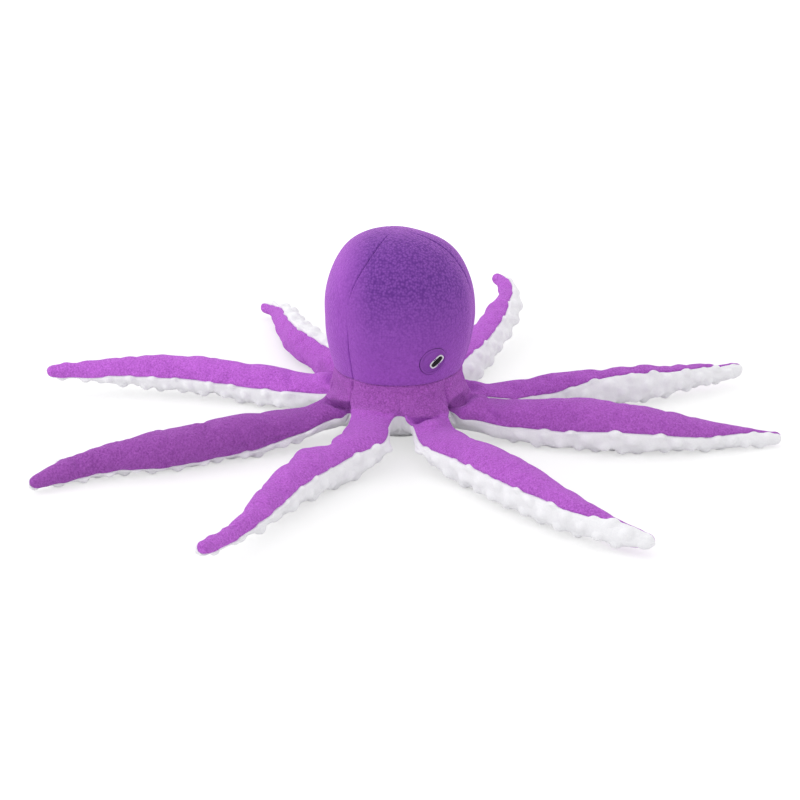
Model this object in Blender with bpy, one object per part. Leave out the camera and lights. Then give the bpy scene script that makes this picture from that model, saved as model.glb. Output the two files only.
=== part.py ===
"""A stuffed octopus toy: eight floppy arms round a padded head with a squeaker inside.

Metres, +Z up. The origin is the centre of the flat belly on the floor, and -Y is the front.
An azimuth is counted in degrees from the front, positive towards +X.
"""

import math

import bmesh
import bpy
from mathutils import Matrix, Vector

# Cloth, film and the gaps between pieces that lie on each other
SKIN = 0.0018
FILM = 0.0004
GAP = 0.0003
STUFFING_EASE = 0.0008

# Head: a full crown above its widest height (a fullness of 2 is an oval), drawn in to the neck seam
HEAD_RADIUS = 0.0487
HEAD_WIDEST_HEIGHT = 0.0812
HEAD_CROWN = 0.0531
HEAD_FULLNESS = 2.3
NECK_RADIUS = 0.042
NECK_HEIGHT = 0.0435
HEAD_SEAMS = {"front": (-44.0, 76.0), "right": (76.0, 196.0), "left": (196.0, 316.0)}

# Skirt under the neck seam, and the white bowl of the belly that closes it
SKIRT_EDGE_RADIUS = 0.0455
SKIRT_EDGE_HEIGHT = 0.021
SKIRT_FLARE_POWER = 2.5
SKIRT_SEAMS = {"front": (-45.0, 45.0), "right": (45.0, 135.0), "back": (135.0, 225.0), "left": (225.0, 315.0)}
BELLY_REST_RADIUS = 0.033

# Arms: a round root in its socket, a swell, and a taper to a blunt tip
ARM_LENGTH = 0.203
ARM_ROOT_RADIUS = 0.012
ARM_ROOT_SINK = 0.006
ARM_TIP_RADIUS = 0.0045
ARM_FULLEST_AT = 0.4
ARM_HOOK_FROM = 0.7
ARM_FLOOR_CLEARANCE = 0.0005
ARM_ROOT_FLOOR_CLEARANCE = 0.001
ARM_DROOP = -50.0
ARM_LIFT = 65.0
SOCKET_CLEARANCE = 0.0008
SOCKET_REACH = 0.045

# One arm each: where its root sits, how it runs, how full it is and how it is rolled.
# Heading, bow, sway and hook are degrees of turn, tip_lift is the height of the raised tip,
# and rolls are the degrees by which the arm is turned about its own line at even steps down it.
ARMS = {
    "back_left": dict(root=-157.5, heading=-146, bow=-24, sway=5, hook=31, tip_lift=0.0028,
                      full=0.014, rolls=(61, 96, 98, 97, 110)),
    "left_back": dict(root=-112.5, heading=-116.5, bow=29, sway=-1.5, hook=7.5, tip_lift=0.0118,
                      full=0.0133, rolls=(-4, -3, -2, 5, 60)),
    "left_front": dict(root=-67.5, heading=-55.5, bow=-21, sway=1, hook=20, tip_lift=0.0012,
                       full=0.0132, rolls=(-7, 20, 39, 32, 58)),
    "front_left": dict(root=-22.5, heading=-3, bow=-52, sway=-17, hook=20, tip_lift=0.01,
                       full=0.0129, rolls=(-13, -25, -19, -5, 47)),
    "front_right": dict(root=22.5, heading=20.5, bow=32, sway=1.5, hook=18, tip_lift=0.004,
                        full=0.0151, rolls=(17, 19, 21, 32, 116)),
    "right_front": dict(root=67.5, heading=82, bow=4, sway=-9, hook=27, tip_lift=0.0006,
                        full=0.0155, rolls=(-13, -5, 9, 7, 89)),
    "right_back": dict(root=112.5, heading=111, bow=-13, sway=-13, hook=23, tip_lift=0.0064,
                       full=0.0123, rolls=(0, 15, 58, 55, 95)),
    "back_right": dict(root=157.5, heading=137, bow=49, sway=6, hook=2, tip_lift=0.0244,
                       full=0.0132, rolls=(35, 44, 45, 63, 61)),
}

# Squeaker in the middle of the head: a cup, a reed plug in its floor and a cap that slides into it
SQUEAKER_RADIUS = 0.022
SQUEAKER_WALL = 0.0015
SQUEAKER_CUP_FLOOR = 0.068
SQUEAKER_CUP_HEIGHT = 0.012
SQUEAKER_CAP_HEIGHT = 0.016
SQUEAKER_CAP_OVERLAP = 0.003
REED_HOLE_RADIUS = 0.005
REED_FLANGE_RADIUS = 0.0065
REED_FLANGE_THICKNESS = 0.0012
REED_BORE_RADIUS = 0.002
SQUEAKER_CAP_CROWN = 0.006

# Crinkle sheet behind the front panel, as whole steps of the panel's own facets from its edges
CRINKLE_EDGE_STEPS = 1

# Embroidered eyes, one on each side of the median seam
EYES = {"right": dict(azimuth=27.5, slant=45.0), "left": dict(azimuth=-139.5, slant=-45.0)}
EYE_ABOVE_NECK = 0.0165
EYE_PATCH_RADIUS = 0.0091
EYE_PATCH_THICKNESS = 0.0006
EYE_STITCH_THICKNESS = 0.0005
EYE_LIFT_OFF_PANEL = 0.0005
PUPIL_HALF_LENGTH = 0.0048
PUPIL_HALF_WIDTH = 0.0014
EYE_WHITE_WIDTH = 0.0013
PUPIL_OUTWARD_SHIFT = 0.0018

# Facet counts
PANEL_COLUMNS = 8
HEAD_LOWER_ROWS = 4
HEAD_UPPER_ROWS = 5
TURNED_SEGMENTS = 32
HEAD_STUFFING_SEGMENTS = 24
SQUEAKER_SEGMENTS = 20
REED_SEGMENTS = 16
EYE_SEGMENTS = 16
ARM_FACETS_PER_HALF = 5
ARM_STUFFING_FACETS_PER_HALF = 3
ARM_BODY_ROWS = 11
ARM_LINE_STEPS = 110
BALL_SEGMENTS = 16
BALL_RINGS = 10

# Colours, as linear values
PURPLE = (0.37, 0.10, 0.50)
PURPLE_THREAD = (0.30, 0.06, 0.44)
WHITE_PLUSH = (0.85, 0.84, 0.88)
WHITE_THREAD = (0.88, 0.86, 0.90)
BLACK_THREAD = (0.012, 0.012, 0.014)
STUFFING = (0.80, 0.80, 0.78)
SQUEAKER_PLASTIC = (0.78, 0.80, 0.82)
CLEAR_FILM = (0.72, 0.74, 0.76)


def material(name, colour, roughness):
    made = bpy.data.materials.new(name)
    made.use_nodes = True
    shader = made.node_tree.nodes["Principled BSDF"]
    shader.inputs["Base Color"].default_value = (*colour, 1.0)
    shader.inputs["Roughness"].default_value = roughness
    shader.inputs["Metallic"].default_value = 0.0
    made.diffuse_color = (*colour, 1.0)
    return made


def add_object(name, bm, colour, roughness=0.9, origin=(0.0, 0.0, 0.0)):
    """Turn a finished bmesh into a named object whose origin is the given world point."""
    origin = Vector(origin)
    bmesh.ops.recalc_face_normals(bm, faces=bm.faces)
    bmesh.ops.translate(bm, verts=bm.verts, vec=-origin)
    mesh = bpy.data.meshes.new(name)
    bm.to_mesh(mesh)
    bm.free()
    mesh.shade_smooth()
    mesh.set_sharp_from_angle(angle=math.radians(50))
    mesh.materials.append(material(name + "_material", colour, roughness))
    made = bpy.data.objects.new(name, mesh)
    made.location = origin
    bpy.context.scene.collection.objects.link(made)
    return made


def direction(azimuth):
    angle = math.radians(azimuth)
    return Vector((math.sin(angle), -math.cos(angle), 0.0))


def at(azimuth, radius, height):
    return direction(azimuth) * radius + Vector((0.0, 0.0, height))


def spread(first, last, count):
    return [first + (last - first) * step / count for step in range(count + 1)]


def smooth_step(share):
    share = min(max(share, 0.0), 1.0)
    return share * share * (3.0 - 2.0 * share)


def add_strip(bm, near, far, wrap):
    """Fill between two rows of vertices, where a row of one vertex is a pole."""
    count = max(len(near), len(far))
    for step in range(count if wrap else count - 1):
        following = (step + 1) % count
        corners = [near[step % len(near)], near[following % len(near)]]
        corners += [far[following % len(far)], far[step % len(far)]]
        bm.faces.new(list(dict.fromkeys(corners)))


def skin(outer_points, inner_points, wrap=False):
    """Close two matching grids of points into one thin piece of cloth."""
    bm = bmesh.new()
    outer = [[bm.verts.new(point) for point in row] for row in outer_points]
    inner = [[bm.verts.new(point) for point in row] for row in inner_points]
    for grid in (outer, inner):
        for near, far in zip(grid, grid[1:]):
            add_strip(bm, near, far, wrap)
    for end in (0, -1):
        if len(outer[end]) > 1:
            add_strip(bm, outer[end], inner[end], wrap)
    if not wrap:
        for side in (0, -1):
            for step in range(len(outer) - 1):
                corners = (outer[step][side], outer[step + 1][side], inner[step + 1][side], inner[step][side])
                bm.faces.new(corners)
    return bm


def solid_of_rows(rows):
    """Close rings of points into one solid, with a pole of one point at both ends."""
    bm = bmesh.new()
    made = [[bm.verts.new(point) for point in row] for row in rows]
    for near, far in zip(made, made[1:]):
        add_strip(bm, near, far, True)
    return bm


def ring(radius, height, segments):
    if radius == 0.0:
        return [Vector((0.0, 0.0, height))]
    return [at(360.0 * step / segments, radius, height) for step in range(segments)]


def turned(profile, segments):
    """Turn a profile of (radius, height) points, which starts and ends on the axis."""
    return solid_of_rows([ring(radius, height, segments) for radius, height in profile])


def turned_ring(profile, segments):
    """Turn a closed profile that stays clear of the axis."""
    bm = bmesh.new()
    made = [[bm.verts.new(point) for point in ring(*corner, segments)] for corner in profile]
    for near, far in zip(made, made[1:] + made[:1]):
        add_strip(bm, near, far, True)
    return bm


# Head, as a profile that every piece in and on it follows


def head_radius(height):
    if height >= HEAD_WIDEST_HEIGHT:
        rise = (height - HEAD_WIDEST_HEIGHT) / HEAD_CROWN
        return HEAD_RADIUS * max(1.0 - rise**HEAD_FULLNESS, 0.0) ** (1.0 / HEAD_FULLNESS)
    share = (height - NECK_HEIGHT) / (HEAD_WIDEST_HEIGHT - NECK_HEIGHT)
    return NECK_RADIUS + (HEAD_RADIUS - NECK_RADIUS) * math.sin(share * math.pi / 2)


def head_profile(inset, bottom):
    """The head's outline drawn in by inset, from a height up to the crown."""
    lower = [(head_radius(z) - inset, z) for z in spread(bottom, HEAD_WIDEST_HEIGHT, HEAD_LOWER_ROWS)]
    radius, crown = HEAD_RADIUS - inset, HEAD_CROWN - inset
    angles = spread(0.0, math.pi / 2, HEAD_UPPER_ROWS)[1:-1]
    power = 2.0 / HEAD_FULLNESS
    upper = []
    for angle in angles:
        height = HEAD_WIDEST_HEIGHT + crown * math.sin(angle) ** power
        upper.append((radius * math.cos(angle) ** power, height))
    return lower + upper + [(0.0, HEAD_WIDEST_HEIGHT + crown)]


def panel_rows(profile, seams, shift):
    """A grid of points over one panel between two seams, moved out so that its seams keep their gap."""
    rows = []
    for radius, height in profile:
        if radius == 0.0:
            rows.append([Vector((0.0, 0.0, height)) + shift])
        else:
            rows.append([at(azimuth, radius, height) + shift for azimuth in spread(*seams, PANEL_COLUMNS)])
    return rows


def seam_shift(seams):
    half_width = math.radians(seams[1] - seams[0]) / 2
    return direction(sum(seams) / 2) * (GAP / 2 / math.sin(half_width))


def add_head_panels():
    bottom = NECK_HEIGHT + GAP / 2
    for name, seams in HEAD_SEAMS.items():
        shift = seam_shift(seams)
        outer = panel_rows(head_profile(0.0, bottom), seams, shift)
        inner = panel_rows(head_profile(SKIN, bottom), seams, shift)
        add_object(f"head_panel_{name}", skin(outer, inner), PURPLE)


def add_crinkle_sheet():
    """The sheet follows the front panel's facets, one gap inside it."""
    bottom = NECK_HEIGHT + GAP / 2
    seams = HEAD_SEAMS["front"]
    layers = []
    for inset in (SKIN + GAP, SKIN + GAP + FILM):
        rows = panel_rows(head_profile(inset, bottom), seams, seam_shift(seams))
        kept = slice(CRINKLE_EDGE_STEPS, -CRINKLE_EDGE_STEPS)
        layers.append([row[kept] for row in rows[CRINKLE_EDGE_STEPS : -1 - CRINKLE_EDGE_STEPS]])
    add_object("crinkle_sheet", skin(*layers), CLEAR_FILM, 0.3)


# Squeaker and the two halves of stuffing that hold it

SQUEAKER_CUP_RIM = SQUEAKER_CUP_FLOOR + SQUEAKER_CUP_HEIGHT
SQUEAKER_CAP_RADIUS = SQUEAKER_RADIUS - SQUEAKER_WALL - GAP
SQUEAKER_CAP_BOTTOM = SQUEAKER_CUP_RIM - SQUEAKER_CAP_OVERLAP
SQUEAKER_CAP_TOP = SQUEAKER_CAP_BOTTOM + SQUEAKER_CAP_HEIGHT


def add_squeaker():
    floor_top = SQUEAKER_CUP_FLOOR + SQUEAKER_WALL
    bore = SQUEAKER_RADIUS - SQUEAKER_WALL
    cup = [(REED_HOLE_RADIUS, SQUEAKER_CUP_FLOOR), (SQUEAKER_RADIUS, SQUEAKER_CUP_FLOOR)]
    cup += [(SQUEAKER_RADIUS, SQUEAKER_CUP_RIM), (bore, SQUEAKER_CUP_RIM)]
    cup += [(bore, floor_top), (REED_HOLE_RADIUS, floor_top)]
    add_object("squeaker_cup", turned_ring(cup, SQUEAKER_SEGMENTS), SQUEAKER_PLASTIC, 0.35)

    stem = REED_HOLE_RADIUS - GAP
    flange_low = floor_top + GAP
    flange_high = flange_low + REED_FLANGE_THICKNESS
    reed = [(REED_BORE_RADIUS, SQUEAKER_CUP_FLOOR), (stem, SQUEAKER_CUP_FLOOR), (stem, flange_low)]
    reed += [(REED_FLANGE_RADIUS, flange_low), (REED_FLANGE_RADIUS, flange_high)]
    reed += [(REED_BORE_RADIUS, flange_high)]
    add_object("squeaker_reed", turned_ring(reed, REED_SEGMENTS), SQUEAKER_PLASTIC, 0.35)

    cap = []
    for inset in (0.0, SQUEAKER_WALL):
        radius = SQUEAKER_CAP_RADIUS - inset
        shoulder = SQUEAKER_CAP_TOP - SQUEAKER_CAP_CROWN
        crown = SQUEAKER_CAP_CROWN - inset
        angles = spread(0.0, math.pi / 2, 3)[:-1]
        dome = [(radius * math.cos(a), shoulder + crown * math.sin(a)) for a in angles]
        cap.append([(radius, SQUEAKER_CAP_BOTTOM)] + dome + [(0.0, shoulder + crown)])
    layers = [[ring(*corner, SQUEAKER_SEGMENTS) for corner in profile] for profile in cap]
    axis_point = (0.0, 0.0, SQUEAKER_CAP_BOTTOM)
    add_object("squeaker_cap", skin(*layers, wrap=True), SQUEAKER_PLASTIC, 0.35, axis_point)


def add_head_stuffing():
    """Two halves that meet at the cup's rim, each hollowed for its half of the squeaker."""
    inset = SKIN + GAP + FILM + GAP + STUFFING_EASE
    split = SQUEAKER_CUP_RIM
    pocket = SQUEAKER_RADIUS + GAP
    low, high = NECK_HEIGHT + GAP / 2, split - GAP / 2
    lower = [(0.0, low)]
    lower += [(head_radius(z) - inset, z) for z in spread(low, high, HEAD_LOWER_ROWS)]
    lower += [(pocket, high), (pocket, SQUEAKER_CUP_FLOOR - GAP), (0.0, SQUEAKER_CUP_FLOOR - GAP)]
    add_object("head_stuffing_lower", turned(lower, HEAD_STUFFING_SEGMENTS), STUFFING)

    bottom = split + GAP / 2
    upper = [(0.0, SQUEAKER_CAP_TOP + GAP), (pocket, SQUEAKER_CAP_TOP + GAP), (pocket, bottom)]
    outline = [corner for corner in head_profile(inset, bottom) if corner[1] >= bottom]
    add_object("head_stuffing_upper", turned(upper + outline, HEAD_STUFFING_SEGMENTS), STUFFING)


# Skirt, belly and the stuffing between them


def skirt_radius(height):
    share = (NECK_HEIGHT - height) / (NECK_HEIGHT - SKIRT_EDGE_HEIGHT)
    return NECK_RADIUS + (SKIRT_EDGE_RADIUS - NECK_RADIUS) * max(share, 0.0) ** SKIRT_FLARE_POWER


def skirt_profile(inset, low, high, rows=3):
    return [(skirt_radius(z) - inset, z) for z in spread(low, high, rows)]


def belly_profile(inset, rows=4):
    """A quarter ellipse from the edge of the flat rest face up to the skirt's edge."""
    width = SKIRT_EDGE_RADIUS - BELLY_REST_RADIUS - inset
    depth = SKIRT_EDGE_HEIGHT - inset
    angles = spread(math.pi / 2, 0.0, rows)
    return [
        (BELLY_REST_RADIUS + width * math.cos(a), SKIRT_EDGE_HEIGHT - depth * math.sin(a)) for a in angles
    ]


def add_skirt_panels(sockets):
    low, high = SKIRT_EDGE_HEIGHT + GAP / 2, NECK_HEIGHT - GAP / 2
    for name, seams in SKIRT_SEAMS.items():
        shift = seam_shift(seams)
        outer = panel_rows(skirt_profile(0.0, low, high), seams, shift)
        inner = panel_rows(skirt_profile(SKIN, low, high), seams, shift)
        cut(add_object(f"skirt_panel_{name}", skin(outer, inner), PURPLE), sockets)


def add_belly(sockets):
    drop = GAP / 2
    outer = belly_profile(0.0)
    inner = belly_profile(SKIN)
    outer[-1] = (SKIRT_EDGE_RADIUS, SKIRT_EDGE_HEIGHT - drop)
    inner[-1] = (SKIRT_EDGE_RADIUS - SKIN, SKIRT_EDGE_HEIGHT - drop)
    profile = [(0.0, 0.0)] + outer + inner[::-1] + [(0.0, SKIN)]
    cut(add_object("belly", turned(profile, TURNED_SEGMENTS), WHITE_PLUSH), sockets)


def add_body_stuffing(sockets):
    inset = SKIN + GAP
    profile = [(0.0, inset)] + belly_profile(inset)
    profile += skirt_profile(inset, SKIRT_EDGE_HEIGHT, NECK_HEIGHT - GAP / 2)[1:]
    profile += [(0.0, NECK_HEIGHT - GAP / 2)]
    cut(add_object("body_stuffing", turned(profile, TURNED_SEGMENTS), STUFFING), sockets)


# Arms, each run along its own line over the floor


def arm_radius(arm, share):
    if share < ARM_FULLEST_AT:
        return ARM_ROOT_RADIUS + (arm["full"] - ARM_ROOT_RADIUS) * smooth_step(share / ARM_FULLEST_AT)
    taper = (share - ARM_FULLEST_AT) / (1.0 - ARM_FULLEST_AT)
    return ARM_TIP_RADIUS + (arm["full"] - ARM_TIP_RADIUS) * math.cos(taper * math.pi / 2)


def arm_heading(arm, share):
    hooked = max(share - ARM_HOOK_FROM, 0.0) / (1.0 - ARM_HOOK_FROM)
    swayed = math.sin(2.0 * math.pi * share)
    return arm["heading"] + arm["bow"] * share + arm["sway"] * swayed + arm["hook"] * hooked**2


def arm_roll(arm, share):
    """The roll at a share of the arm's length, eased from each listed value to the next."""
    rolls = arm["rolls"]
    place = share * (len(rolls) - 1)
    first = min(int(place), len(rolls) - 2)
    return rolls[first] + (rolls[first + 1] - rolls[first]) * smooth_step(place - first)


def arm_height(arm, share):
    under = ARM_FLOOR_CLEARANCE
    under += (ARM_ROOT_FLOOR_CLEARANCE - ARM_FLOOR_CLEARANCE) * (1.0 - smooth_step(share / ARM_FULLEST_AT))
    return arm_radius(arm, share) + under + arm["tip_lift"] * share**2


def arm_hinge(arm):
    radius = SKIRT_EDGE_RADIUS + ARM_ROOT_RADIUS - ARM_ROOT_SINK
    return at(arm["root"], radius, ARM_ROOT_RADIUS + ARM_ROOT_FLOOR_CLEARANCE)


def arm_line(arm):
    """Points along the arm's middle, from the hinge to the centre of the round tip."""
    step = (ARM_LENGTH - ARM_TIP_RADIUS) / ARM_LINE_STEPS
    point = arm_hinge(arm)
    line = [point.copy()]
    for count in range(ARM_LINE_STEPS):
        point += direction(arm_heading(arm, (count + 0.5) / ARM_LINE_STEPS)) * step
        line.append(Vector((point.x, point.y, arm_height(arm, (count + 1) / ARM_LINE_STEPS))))
    return line


def arm_sections(arm, inset):
    """Centre, radius and heading share of each cross-section, with rounded ends."""
    line = arm_line(arm)
    root_axis, tip_axis = direction(arm_heading(arm, 0.0)), direction(arm_heading(arm, 1.0))
    root, tip = ARM_ROOT_RADIUS - inset, ARM_TIP_RADIUS - inset
    sections = []
    for angle in (math.pi / 2, math.pi / 3, math.pi / 6):
        sections.append((line[0] - root_axis * root * math.sin(angle), root * math.cos(angle), 0.0))
    for row in range(ARM_BODY_ROWS + 1):
        share = row / ARM_BODY_ROWS
        centre = line[row * ARM_LINE_STEPS // ARM_BODY_ROWS]
        sections.append((centre, arm_radius(arm, share) - inset, share))
    for angle in (math.pi / 4, math.pi / 2):
        sections.append((line[-1] + tip_axis * tip * math.sin(angle), tip * math.cos(angle), 1.0))
    return sections


def arm_rows(arm, inset, facet_angles, lift):
    """Rings of points round the arm, at angles from its right seam over the top."""
    rows = []
    sections = arm_sections(arm, inset)
    for number, (centre, radius, share) in enumerate(sections):
        heading = direction(arm_heading(arm, share))
        side = Vector((-heading.y, heading.x, 0.0))
        roll = math.radians(arm_roll(arm, share))
        top = Vector((0.0, 0.0, math.cos(roll))) + side * math.sin(roll)
        across = side * math.cos(roll) - Vector((0.0, 0.0, math.sin(roll)))
        if number in (0, len(sections) - 1):
            rows.append([centre + top * lift])
            continue
        row = []
        for angle in facet_angles:
            row.append(centre + (across * math.cos(angle) + top * math.sin(angle)) * radius + top * lift)
        rows.append(row)
    return rows


def add_arm(name, arm):
    """A purple cloth over the top, a white one under it, and the stuffing inside both."""
    hinge = arm_hinge(arm)
    over = spread(0.0, math.pi, ARM_FACETS_PER_HALF)
    under = spread(math.pi, 2.0 * math.pi, ARM_FACETS_PER_HALF)
    halves = (("top", over, GAP / 2, PURPLE), ("underside", under, -GAP / 2, WHITE_PLUSH))
    for part, angles, lift, colour in halves:
        layers = [arm_rows(arm, inset, angles, lift) for inset in (0.0, SKIN)]
        add_object(f"arm_{name}_{part}", skin(*layers), colour, origin=hinge)
    around = spread(0.0, 2.0 * math.pi, 2 * ARM_STUFFING_FACETS_PER_HALF)[:-1]
    rows = arm_rows(arm, SKIN + GAP + STUFFING_EASE, around, 0.0)
    add_object(f"arm_{name}_stuffing", solid_of_rows(rows), STUFFING, origin=hinge)


def add_socket(name, arm):
    """A guide shape of the space that the arm's root sweeps between its droop and its lift."""
    hinge = arm_hinge(arm)
    axis = direction(arm["root"]).cross(Vector((0.0, 0.0, 1.0)))
    far_radius = arm_radius(arm, SOCKET_REACH / ARM_LENGTH) + SOCKET_CLEARANCE
    balls = [(hinge, ARM_ROOT_RADIUS + SOCKET_CLEARANCE)]
    for swing in (ARM_DROOP, 0.0, ARM_LIFT):
        reach = Matrix.Rotation(math.radians(swing), 3, axis) @ direction(arm["heading"])
        balls.append((hinge + reach * SOCKET_REACH, far_radius))
    bm = bmesh.new()
    for centre, radius in balls:
        place = Matrix.Translation(centre)
        bmesh.ops.create_uvsphere(
            bm, u_segments=BALL_SEGMENTS, v_segments=BALL_RINGS, radius=radius, matrix=place
        )
    bmesh.ops.delete(bm, geom=bm.edges[:], context="EDGES_FACES")
    hull = bmesh.ops.convex_hull(bm, input=bm.verts[:])
    inside = set(hull["geom_interior"] + hull["geom_unused"])
    spare = [item for item in inside if isinstance(item, bmesh.types.BMVert)]
    bmesh.ops.delete(bm, geom=spare, context="VERTS")
    guide = add_object(f"arm_{name}_socket_guide", bm, STUFFING)
    guide.hide_render = True
    guide.display_type = "WIRE"
    return guide


def cut(piece, sockets):
    for guide in sockets:
        modifier = piece.modifiers.new(guide.name, "BOOLEAN")
        modifier.operation = "DIFFERENCE"
        modifier.solver = "EXACT"
        modifier.object = guide


# Eyes, sewn on the head's panels


def eye_rows(eye, lift, shift, outlines):
    """Rows of points on the head round an eye's middle, one row for each outline in it."""
    height = NECK_HEIGHT + EYE_ABOVE_NECK
    middle = at(eye["azimuth"], head_radius(height), height)
    right = Vector((0.0, 0.0, 1.0)).cross(direction(eye["azimuth"]))
    rows = []
    for outline in outlines:
        row = []
        for across, up in outline:
            point = middle + right * (across + shift) + Vector((0.0, 0.0, up))
            azimuth = math.degrees(math.atan2(point.x, -point.y))
            row.append(at(azimuth, head_radius(point.z) + lift, point.z))
        rows.append(row)
    return rows


def oval(half_length, half_width, slant):
    turn = math.radians(slant)
    points = []
    for step in range(EYE_SEGMENTS):
        angle = 2.0 * math.pi * step / EYE_SEGMENTS
        along, across = half_length * math.cos(angle), half_width * math.sin(angle)
        right = along * math.cos(turn) - across * math.sin(turn)
        up = along * math.sin(turn) + across * math.cos(turn)
        points.append((right, up))
    return points


def add_eye_layer(name, eye, low, thickness, shift, outlines, colour):
    layers = [eye_rows(eye, lift, shift, outlines) for lift in (low + thickness, low)]
    add_object(name, skin(*layers, wrap=True), colour, 0.6)


def add_eye(name, eye):
    """A round patch in purple thread, and a black pupil with a white outline on it."""
    slant = eye["slant"]
    centre = [(0.0, 0.0)]
    disc = [centre, oval(EYE_PATCH_RADIUS / 2, EYE_PATCH_RADIUS / 2, 0.0)]
    disc.append(oval(EYE_PATCH_RADIUS, EYE_PATCH_RADIUS, 0.0))
    low = EYE_LIFT_OFF_PANEL
    add_eye_layer(f"eye_{name}_patch", eye, low, EYE_PATCH_THICKNESS, 0.0, disc, PURPLE_THREAD)

    low += EYE_PATCH_THICKNESS + GAP
    shift = math.copysign(PUPIL_OUTWARD_SHIFT, slant)
    pupil = [centre, oval(PUPIL_HALF_LENGTH, PUPIL_HALF_WIDTH, slant)]
    add_eye_layer(f"eye_{name}_pupil", eye, low, EYE_STITCH_THICKNESS, shift, pupil, BLACK_THREAD)

    inner = (PUPIL_HALF_LENGTH + GAP, PUPIL_HALF_WIDTH + GAP)
    outer = [size + EYE_WHITE_WIDTH for size in inner]
    white = [oval(*inner, slant), oval(*outer, slant)]
    add_eye_layer(f"eye_{name}_white", eye, low, EYE_STITCH_THICKNESS, shift, white, WHITE_THREAD)


for old in list(bpy.data.objects):
    bpy.data.objects.remove(old)

socket_guides = [add_socket(name, arm) for name, arm in ARMS.items()]
add_belly(socket_guides)
add_body_stuffing(socket_guides)
add_skirt_panels(socket_guides)
for arm_name, arm_sizes in ARMS.items():
    add_arm(arm_name, arm_sizes)
add_head_stuffing()
add_squeaker()
add_crinkle_sheet()
add_head_panels()
for eye_name, eye_sizes in EYES.items():
    add_eye(eye_name, eye_sizes)
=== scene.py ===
import math
from functools import partial
import bmesh
import bpy
import numpy as np
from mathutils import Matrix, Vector


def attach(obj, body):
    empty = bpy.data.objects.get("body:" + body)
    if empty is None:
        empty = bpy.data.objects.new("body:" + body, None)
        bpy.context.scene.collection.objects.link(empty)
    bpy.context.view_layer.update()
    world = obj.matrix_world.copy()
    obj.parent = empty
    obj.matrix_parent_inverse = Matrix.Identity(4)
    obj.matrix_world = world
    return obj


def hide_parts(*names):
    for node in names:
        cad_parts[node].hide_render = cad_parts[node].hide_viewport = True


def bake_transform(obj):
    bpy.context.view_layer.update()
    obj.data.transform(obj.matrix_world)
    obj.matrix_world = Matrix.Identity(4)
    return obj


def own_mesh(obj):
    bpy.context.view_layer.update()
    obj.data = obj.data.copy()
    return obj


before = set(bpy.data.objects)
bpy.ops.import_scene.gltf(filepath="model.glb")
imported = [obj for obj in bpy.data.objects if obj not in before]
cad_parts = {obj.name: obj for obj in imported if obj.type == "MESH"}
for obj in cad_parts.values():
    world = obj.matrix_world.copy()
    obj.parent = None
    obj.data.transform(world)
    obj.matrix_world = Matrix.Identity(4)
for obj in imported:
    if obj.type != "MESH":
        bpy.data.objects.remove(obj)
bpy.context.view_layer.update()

# Squeaker. A cup, a reed plug and a cap that is pushed down over the cup, moulded in soft milky
# polyethylene. It lies loose in the middle of the head, where the stuffing holds it.
SQUEAKER_MILKY = (0.76, 0.78, 0.80, 1)
SQUEAKER_SHADE = (0.62, 0.66, 0.71, 1)
SQUEAKER_CLOUDS = 180
SQUEAKER_GRAIN = 900
SQUEAKER_GRAIN_DEPTH = 0.00008


def feed(socket, value):
    """Link a socket to another node's output, or set it to a constant."""
    if isinstance(value, bpy.types.NodeSocket):
        socket.id_data.links.new(value, socket)
    else:
        socket.default_value = value


def set_inputs(node, **inputs):
    for name, value in inputs.items():
        feed(node.inputs[name.replace("_", " ")], value)


def add_node(tree, kind, **inputs):
    node = tree.nodes.new(kind)
    set_inputs(node, **inputs)
    return node


def new_material(name):
    material = bpy.data.materials.new(name)
    material.use_nodes = True
    nodes = material.node_tree.nodes
    return material, nodes["Principled BSDF"], nodes.new("ShaderNodeTexCoord").outputs["Object"]


def add_noise(place, scale, detail=3.0, roughness=0.55):
    noise = add_node(place.id_data, "ShaderNodeTexNoise", Vector=place, Scale=scale)
    set_inputs(noise, Detail=detail, Roughness=roughness)
    return noise.outputs["Fac"]


def stretch(value, low=0.3, high=0.7, **to):
    """Spread the values between low and high over 0 to 1, or over another span."""
    span = add_node(value.id_data, "ShaderNodeMapRange", Value=value, From_Min=low, From_Max=high, **to)
    return span.outputs["Result"]


def mix_colours(share, first, second):
    mix = share.id_data.nodes.new("ShaderNodeMix")
    mix.data_type = "RGBA"
    for number, value in ((0, share), (6, first), (7, second)):
        feed(mix.inputs[number], value)
    return mix.outputs[2]


def add_bump(height, depth, strength=1.0, **under):
    bump = add_node(height.id_data, "ShaderNodeBump", Height=height, Distance=depth, **under)
    set_inputs(bump, Strength=strength)
    return bump.outputs["Normal"]


milky_plastic, shader, place = new_material("squeaker_plastic")
cloudy = stretch(add_noise(place, SQUEAKER_CLOUDS))
set_inputs(
    shader, Roughness=0.42,
    Base_Color=mix_colours(cloudy, SQUEAKER_SHADE, SQUEAKER_MILKY),
    Normal=add_bump(add_noise(place, SQUEAKER_GRAIN), SQUEAKER_GRAIN_DEPTH),
)
for name in ("squeaker_cup", "squeaker_reed", "squeaker_cap"):
    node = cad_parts[name]
    node.data.materials.clear()
    node.data.materials.append(milky_plastic)

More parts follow.
